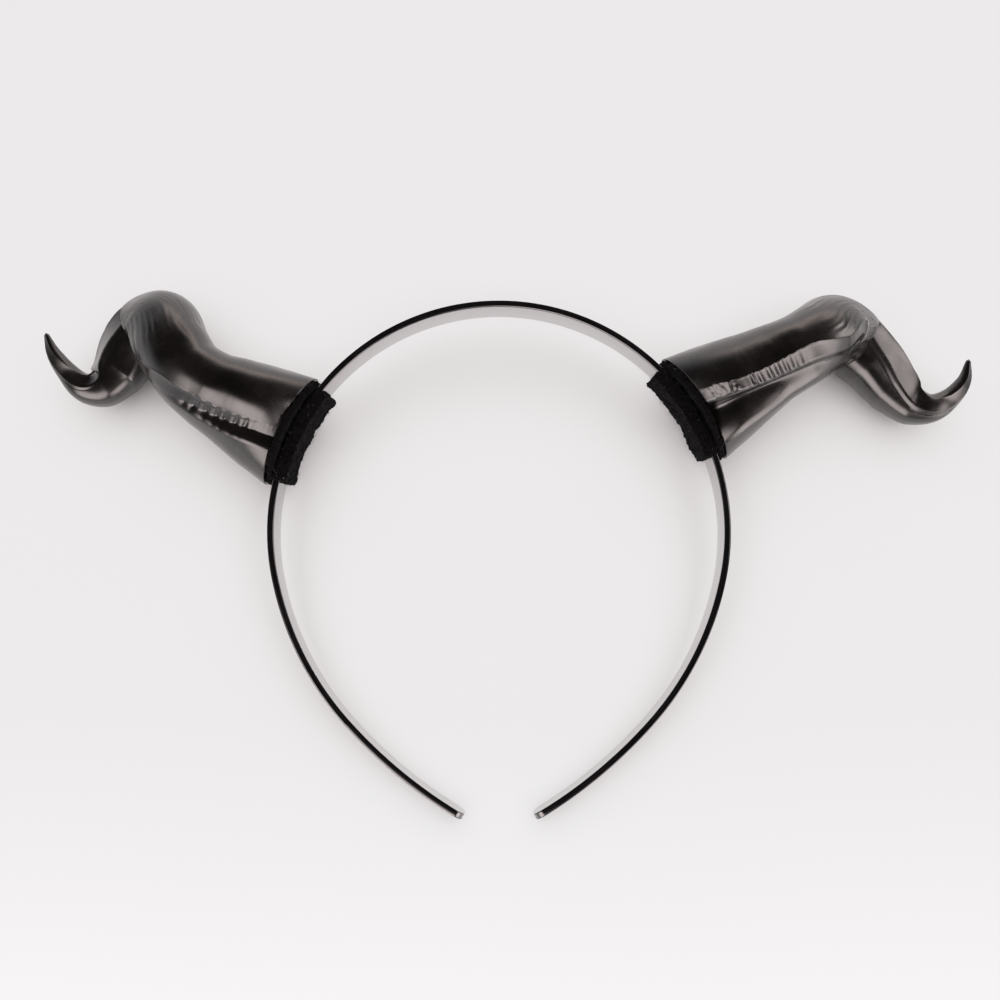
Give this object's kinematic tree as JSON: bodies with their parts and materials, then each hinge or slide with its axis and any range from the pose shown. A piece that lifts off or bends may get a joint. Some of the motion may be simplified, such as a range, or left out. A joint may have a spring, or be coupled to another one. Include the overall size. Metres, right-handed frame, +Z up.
{
  "type": "demon horns headpiece",
  "caption": "Costume headpiece: a springy plastic headband with a mirrored pair of hollow, twisted vinyl horns held to it by felt pads.",
  "frame": {"origin": "on the table, under the middle of the headpiece's box as it lies", "axes": "+X from the left horn to the right one as the picture shows them, +Y from the leg ends towards the crown, +Z up from the table, out of the headpiece's front"},
  "size_m": [0.2478, 0.14, 0.0336],
  "materials": {
    "band_plastic": "glossy black moulded plastic",
    "horn_vinyl": "satin to glossy black vinyl",
    "pad_felt": "black felt"
  },
  "bodies": {
    "root": {"headband": "band_plastic", "horn_left": "horn_vinyl", "horn_right": "horn_vinyl", "felt_inner_left": "pad_felt", "felt_inner_right": "pad_felt", "felt_outer_left": "pad_felt", "felt_outer_right": "pad_felt"}
  },
  "joints": []
}
